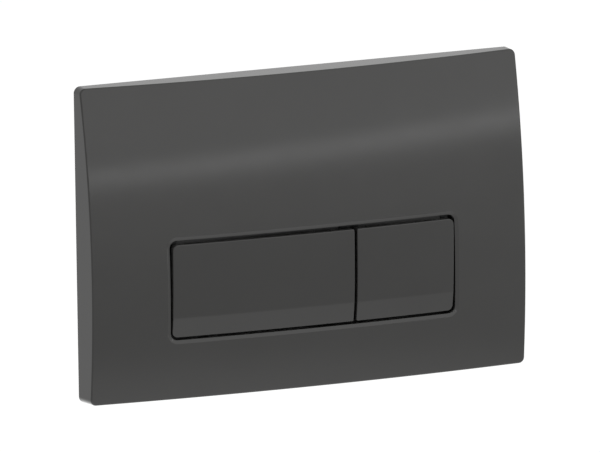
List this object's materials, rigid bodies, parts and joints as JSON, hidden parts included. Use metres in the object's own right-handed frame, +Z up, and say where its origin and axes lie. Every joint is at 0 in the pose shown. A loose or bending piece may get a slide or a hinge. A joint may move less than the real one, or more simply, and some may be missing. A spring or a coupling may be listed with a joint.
{
  "type": "flush button plate",
  "caption": "Domed anthracite flush plate for an in-wall cistern, with a wide and a narrow rocker button, a mounting frame, spacer bolts and push rods behind it.",
  "frame": {"origin": "on the finished wall, behind the middle of the plate", "axes": "+X to the right as seen from the room, +Y into the wall, +Z up"},
  "size_m": [0.246, 0.0881, 0.164],
  "materials": {
    "plate_plastic": "smooth satin moulded anthracite",
    "button_plastic": "smooth satin moulded anthracite",
    "buffer_rubber": "matt",
    "carrier_plastic": "plain moulded black",
    "screw_steel": "zinc plated",
    "rod_steel": "drawn, bright",
    "spring_steel": "drawn wire",
    "push_rod_plastic": "plain moulded natural white",
    "rod_head_plastic": "plain moulded blue grey",
    "frame_plastic": "plain moulded dark grey",
    "bolt_plastic": "plain moulded natural white"
  },
  "bodies": {
    "plate": {"front_plate": "plate_plastic", "button_carrier": "carrier_plastic", "carrier_screws": "screw_steel", "full_hinge_rod": "rod_steel", "half_hinge_rod": "rod_steel", "rod_retaining_rings": "rod_steel", "full_return_spring_left": "spring_steel", "full_return_spring_right": "spring_steel", "half_return_spring": "spring_steel", "mounting_frame": "frame_plastic", "spacer_bolt_left": "bolt_plastic", "spacer_bolt_right": "bolt_plastic", "spacer_nut_left": "bolt_plastic", "spacer_nut_right": "bolt_plastic"},
    "full_button": {"full_flush_button": "button_plastic", "full_stop_buffers": "buffer_rubber"},
    "half_button": {"half_flush_button": "button_plastic", "half_stop_buffers": "buffer_rubber"},
    "full_rod": {"full_push_rod": "push_rod_plastic", "full_push_rod_head": "rod_head_plastic"},
    "half_rod": {"half_push_rod": "push_rod_plastic", "half_push_rod_head": "rod_head_plastic"}
  },
  "joints": [
    {"name": "full_flush_press", "type": "hinge", "parent": "plate", "child": "full_button", "pos_m": [-0.02873, -0.01408, -0.0388], "axis": [-1, 0, 0], "range_deg": [0, 8], "stiffness_Nm_per_rad": 0.9, "springref_deg": -6.88, "deforming": ["full_return_spring_left", "full_return_spring_right"]},
    {"name": "half_flush_press", "type": "hinge", "parent": "plate", "child": "half_button", "pos_m": [0.05117, -0.01408, -0.0388], "axis": [-1, 0, 0], "range_deg": [0, 8], "stiffness_Nm_per_rad": 0.6, "springref_deg": -6.88, "deforming": ["half_return_spring"]},
    {"name": "full_rod_slide", "type": "slide", "parent": "plate", "child": "full_rod", "axis": [0, 1, 0], "range_m": [0, 0.004]},
    {"name": "half_rod_slide", "type": "slide", "parent": "plate", "child": "half_rod", "axis": [0, 1, 0], "range_m": [0, 0.004]}
  ],
  "couplings": [
    {"joint": "full_rod_slide", "follows": "full_flush_press", "m_per_rad": 0.02838},
    {"joint": "half_rod_slide", "follows": "half_flush_press", "m_per_rad": 0.02838}
  ]
}
